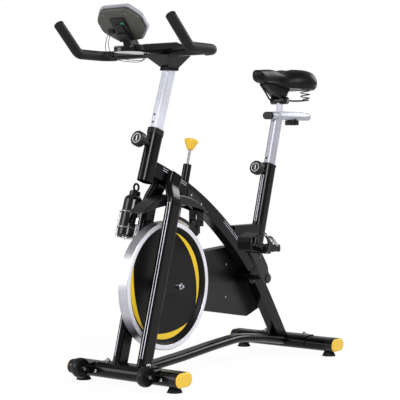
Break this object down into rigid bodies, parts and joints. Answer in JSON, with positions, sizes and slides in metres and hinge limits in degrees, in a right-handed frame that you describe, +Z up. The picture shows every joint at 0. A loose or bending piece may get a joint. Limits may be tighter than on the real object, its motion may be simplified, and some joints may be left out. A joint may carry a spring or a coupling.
{
  "type": "indoor spin bike",
  "caption": "Indoor cycle with a flat-oval steel frame, front flywheel behind a belt guard, crank and pedals with toe cages, sliding saddle and handlebar posts and a push-down felt brake.",
  "frame": {"origin": "centre of the bounding box at the floor, under the feet", "axes": "+X forward towards the handlebar, +Y to the rider's left, +Z up"},
  "size_m": [1.236, 0.536, 1.2983],
  "materials": {
    "frame_black": "satin powder coat",
    "post_blue": "satin silver-blue powder coat",
    "yellow_plastic": "satin moulded plastic",
    "black_plastic": "moulded plastic",
    "guard_plastic": "moulded plastic",
    "foot_rubber": "moulded rubber",
    "fastener_steel": "zinc plated",
    "crank_steel": "satin",
    "flywheel_black": "satin powder coat",
    "flywheel_chrome": "polished chrome",
    "pulley_aluminium": "machined",
    "belt_rubber": "ribbed rubber",
    "cage_plastic": "moulded plastic",
    "brake_steel": "powder coat",
    "brake_felt": "felt",
    "grip_foam": "foam",
    "tray_plastic": "glossy",
    "console_silver": "satin silver",
    "console_olive": "moulded plastic",
    "button_plastic": "moulded plastic",
    "lead_rubber": "moulded sleeve",
    "bottle_wire": "polished chrome",
    "bottle_plastic": "glossy blow-moulded plastic",
    "saddle_cover": "stitched synthetic leather",
    "saddle_steel": "powder coat"
  },
  "bodies": {
    "stand": {"base_rail": "frame_black", "belt_guard_back": "guard_plastic", "belt_guard_cover": "guard_plastic", "bottle_cage": "bottle_wire", "bottom_bracket": "frame_black", "cover_screws": "fastener_steel", "drive_belt": "belt_rubber", "end_caps": "yellow_plastic", "flywheel_axle": "fastener_steel", "flywheel_fender": "guard_plastic", "front_stabiliser": "frame_black", "guard_stay": "fastener_steel", "head_tube": "frame_black", "left_fork_leg": "frame_black", "main_beam": "frame_black", "post_collars": "black_plastic", "rear_stabiliser": "frame_black", "right_fork_leg": "frame_black", "rubber_feet": "foot_rubber", "seat_tube": "frame_black", "stand_fasteners": "fastener_steel", "wheel_brackets": "frame_black"},
    "left_wheel": {"left_transport_wheel": "black_plastic"},
    "right_wheel": {"right_transport_wheel": "black_plastic"},
    "flywheel": {"flywheel_rim": "flywheel_chrome", "flywheel_disc": "flywheel_black", "flywheel_pulley": "pulley_aluminium"},
    "crank": {"crank_axle": "crank_steel", "drive_pulley": "pulley_aluminium", "left_crank": "crank_steel", "right_crank": "crank_steel"},
    "left_pedal_body": {"left_pedal": "black_plastic", "left_toe_cage": "cage_plastic"},
    "right_pedal_body": {"right_pedal": "black_plastic", "right_toe_cage": "cage_plastic"},
    "handlebar": {"handlebar_post": "post_blue", "stem_box": "frame_black", "handlebar_tube": "frame_black", "left_grip": "grip_foam", "right_grip": "grip_foam", "console_tray": "tray_plastic", "console_case": "console_silver", "console_back": "console_olive", "sensor_lead_a": "lead_rubber", "sensor_lead_b": "lead_rubber"},
    "mode_button_body": {"mode_button": "button_plastic"},
    "seat_post_body": {"seat_post": "post_blue", "slider_rail": "post_blue", "rail_plugs": "black_plastic"},
    "carriage": {"saddle_carriage": "frame_black"},
    "rail_knob_body": {"rail_knob": "black_plastic"},
    "saddle_body": {"saddle": "saddle_cover", "saddle_rails": "saddle_steel"},
    "head_pin_body": {"head_pin": "black_plastic"},
    "seat_pin_body": {"seat_pin": "black_plastic"},
    "brake_rod_body": {"brake_rod": "fastener_steel"},
    "brake_knob_body": {"brake_knob": "yellow_plastic"},
    "brake_arm_body": {"brake_arm": "brake_steel", "brake_pad": "brake_felt"},
    "bottle": {"water_bottle": "bottle_plastic"}
  },
  "joints": [
    {"name": "left_wheel_spin", "type": "hinge", "parent": "stand", "child": "left_wheel", "pos_m": [0.583, 0.147, 0.057], "axis": [0, 1, 0], "continuous": true},
    {"name": "right_wheel_spin", "type": "hinge", "parent": "stand", "child": "right_wheel", "pos_m": [0.583, -0.147, 0.057], "axis": [0, 1, 0], "continuous": true},
    {"name": "flywheel_spin", "type": "hinge", "parent": "stand", "child": "flywheel", "pos_m": [0.301, 0, 0.3296], "axis": [0, 1, 0], "continuous": true},
    {"name": "crank_spin", "type": "hinge", "parent": "stand", "child": "crank", "pos_m": [-0.192, 0, 0.322], "axis": [0, 1, 0], "continuous": true},
    {"name": "left_pedal_spin", "type": "hinge", "parent": "crank", "child": "left_pedal_body", "pos_m": [-0.07606, 0.161, 0.44633], "axis": [0, 1, 0], "continuous": true},
    {"name": "right_pedal_spin", "type": "hinge", "parent": "crank", "child": "right_pedal_body", "pos_m": [-0.30794, -0.161, 0.19767], "axis": [0, 1, 0], "continuous": true},
    {"name": "handlebar_height", "type": "slide", "parent": "stand", "child": "handlebar", "axis": [-0.3256, 0, 0.9455], "range_m": [-0.0825, 0.055]},
    {"name": "mode_button_press", "type": "slide", "parent": "handlebar", "child": "mode_button_body", "axis": [0.7431, 0, -0.6691], "range_m": [0, 0.001], "stiffness_N_per_m": 600},
    {"name": "seat_height", "type": "slide", "parent": "stand", "child": "seat_post_body", "axis": [-0.2807, 0, 0.9598], "range_m": [-0.055, 0.11]},
    {"name": "saddle_fore_aft", "type": "slide", "parent": "seat_post_body", "child": "carriage", "axis": [1, 0, 0], "range_m": [-0.035, 0.035]},
    {"name": "rail_knob_turn", "type": "hinge", "parent": "carriage", "child": "rail_knob_body", "pos_m": [-0.515, 0, 0.925], "axis": [0, 0, 1], "range_deg": [-180, 0]},
    {"name": "saddle_tilt", "type": "hinge", "parent": "carriage", "child": "saddle_body", "pos_m": [-0.426, 0, 1.009], "axis": [0, 1, 0], "range_deg": [-10, 10]},
    {"name": "head_pin_pull", "type": "slide", "parent": "stand", "child": "head_pin_body", "axis": [0.9455, 0, 0.3256], "range_m": [0, 0.008], "stiffness_N_per_m": 1500},
    {"name": "seat_pin_pull", "type": "slide", "parent": "stand", "child": "seat_pin_body", "axis": [0.9598, 0, 0.2807], "range_m": [0, 0.008], "stiffness_N_per_m": 1500},
    {"name": "brake_push", "type": "slide", "parent": "stand", "child": "brake_rod_body", "axis": [0.2588, 0, -0.9659], "range_m": [0, 0.0022], "stiffness_N_per_m": 3000},
    {"name": "brake_knob_turn", "type": "hinge", "parent": "brake_rod_body", "child": "brake_knob_body", "pos_m": [0.152, 0, 0.8252], "axis": [0.2588, 0, -0.9659], "range_deg": [0, 720]},
    {"name": "brake_arm_swing", "type": "hinge", "parent": "stand", "child": "brake_arm_body", "pos_m": [0.115, 0, 0.547], "axis": [0, 1, 0], "range_deg": [0, 1.2]},
    {"name": "bottle_lift", "type": "slide", "parent": "stand", "child": "bottle", "axis": [-0.3256, 0, 0.9455], "range_m": [0, 0.15]}
  ],
  "couplings": [
    {"joint": "crank_spin", "follows": "flywheel_spin", "ratio": 0.3},
    {"joint": "brake_arm_swing", "follows": "brake_push", "rad_per_m": 9}
  ]
}
